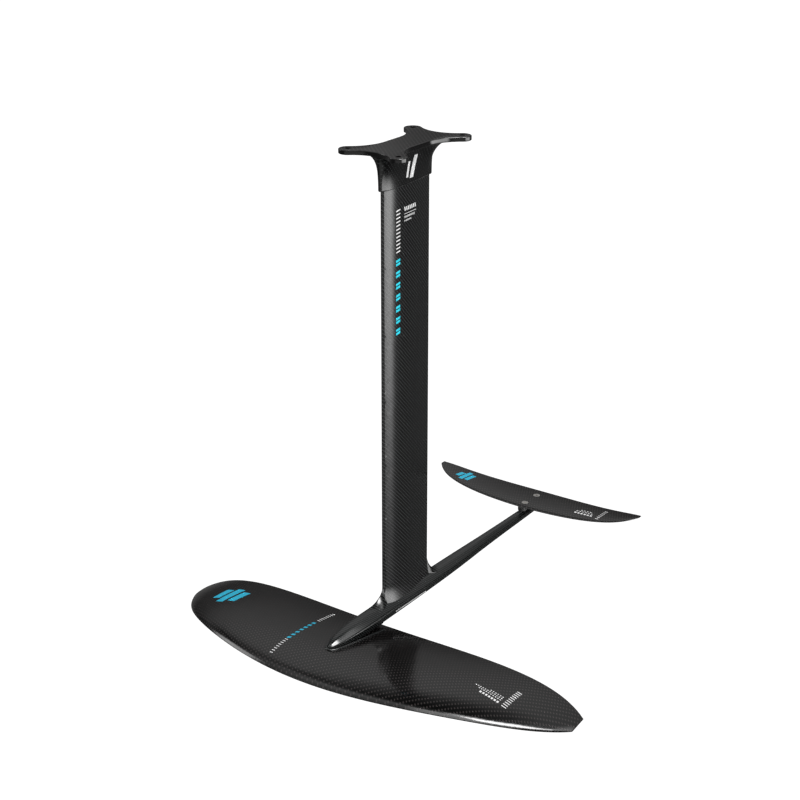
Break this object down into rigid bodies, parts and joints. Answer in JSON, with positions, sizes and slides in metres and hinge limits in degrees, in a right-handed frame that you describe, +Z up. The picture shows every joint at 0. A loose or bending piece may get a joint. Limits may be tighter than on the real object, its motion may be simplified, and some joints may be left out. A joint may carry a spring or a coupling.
{
  "type": "hydrofoil mast wing",
  "caption": "Carbon hydrofoil for a board: an upright mast with an X-shaped bolt-on plate, a slim fuselage, a large front wing and a small stabiliser.",
  "frame": {"origin": "centre of the four board bolt holes, on the top face of the head plate", "axes": "+X forward to the nose of the fuselage, +Y to port, +Z up along the mast to the board"},
  "size_m": [0.7167, 0.742, 0.8225],
  "materials": {
    "carbon_gloss": "clear-coated carbon laminate, glossy",
    "carbon_twill": "clear-coated twill carbon laminate, glossy",
    "carbon_weave": "clear-coated woven carbon laminate, satin gloss",
    "carbon_solid": "solid pressed carbon laminate, uncoated",
    "foam_core": "closed-cell structural foam",
    "stainless_steel": "stainless steel, machined",
    "shim_plastic": "moulded nylon, matt black"
  },
  "bodies": {
    "mast": {"head_plate": "carbon_gloss", "mast_shell_port": "carbon_twill", "mast_shell_starboard": "carbon_twill", "mast_core": "foam_core", "mast_foot": "carbon_gloss", "fuselage_shell_port": "carbon_gloss", "fuselage_shell_starboard": "carbon_gloss", "fuselage_core": "foam_core", "fuselage_nose": "carbon_gloss", "wing_inserts": "stainless_steel", "tail_block": "carbon_solid", "tail_inserts": "stainless_steel", "stabiliser_shim": "shim_plastic"},
    "front_wing": {"wing_skin_top": "carbon_weave", "wing_skin_bottom": "carbon_weave", "wing_core": "foam_core", "wing_mount_block": "carbon_gloss"},
    "wing_screws": {"wing_screws": "stainless_steel"},
    "stabiliser": {"stabiliser_skin_top": "carbon_weave", "stabiliser_skin_bottom": "carbon_weave", "stabiliser_core": "foam_core", "stabiliser_mount_block": "carbon_gloss"},
    "stabiliser_screws": {"stabiliser_screws": "stainless_steel"}
  },
  "joints": [
    {"name": "front_wing_release", "type": "slide", "parent": "mast", "child": "front_wing", "axis": [0, 0, -1], "range_m": [0, 0.06]},
    {"name": "wing_screws_out", "type": "slide", "parent": "front_wing", "child": "wing_screws", "axis": [0, 0, -1], "range_m": [0, 0.04]},
    {"name": "stabiliser_release", "type": "slide", "parent": "mast", "child": "stabiliser", "axis": [0, 0, 1], "range_m": [0, 0.04]},
    {"name": "stabiliser_screws_out", "type": "slide", "parent": "stabiliser", "child": "stabiliser_screws", "axis": [0, 0, 1], "range_m": [0, 0.03]}
  ]
}
